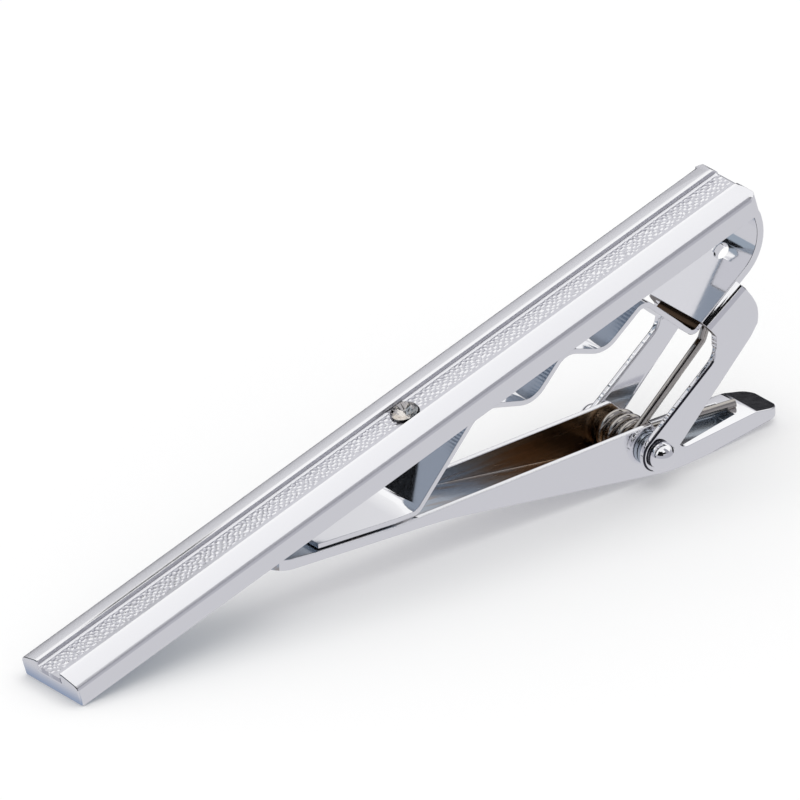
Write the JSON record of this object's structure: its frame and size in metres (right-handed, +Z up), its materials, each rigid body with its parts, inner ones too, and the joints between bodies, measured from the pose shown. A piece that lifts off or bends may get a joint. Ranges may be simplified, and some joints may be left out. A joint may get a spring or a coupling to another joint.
{
  "type": "tie clip",
  "caption": "Sprung tie clip: long grooved bar with a patterned strip and a set stone, a wavy jaw leaf behind it and a channel lever with a thumb pad on a riveted hinge.",
  "frame": {"origin": "middle of the clip's footprint, on the table it lies on", "axes": "+X along the bar from its free end to its hinge end, +Y across the clip away from the viewer, +Z up"},
  "size_m": [0.0596, 0.0088, 0.0184],
  "materials": {
    "polished_plate": "polished rhodium-coloured plate",
    "patterned_plate": "pebbled plate",
    "stone": "clear faceted stone",
    "bracket_plate": "polished plate on bent sheet",
    "leaf_plate": "polished plate on spring sheet",
    "lever_plate": "polished plate on bent sheet",
    "pin_plate": "polished rivet",
    "spacer_steel": "plain turned steel",
    "spring_wire": "drawn spring wire"
  },
  "bodies": {
    "frame": {"front_bar": "polished_plate", "patterned_strip": "patterned_plate", "crystal": "stone", "hinge_bracket": "bracket_plate", "wavy_jaw": "leaf_plate", "hinge_pin": "pin_plate", "front_spacer": "spacer_steel", "rear_spacer": "spacer_steel", "torsion_spring": "spring_wire"},
    "lever": {"lever": "lever_plate"}
  },
  "joints": [
    {"name": "lever_hinge", "type": "hinge", "parent": "frame", "child": "lever", "pos_m": [0.01817, 0, 0.00223], "axis": [0, -1, 0], "range_deg": [0, 28], "stiffness_Nm_per_rad": 0.033, "springref_deg": -68.75, "deforming": ["torsion_spring"]}
  ]
}
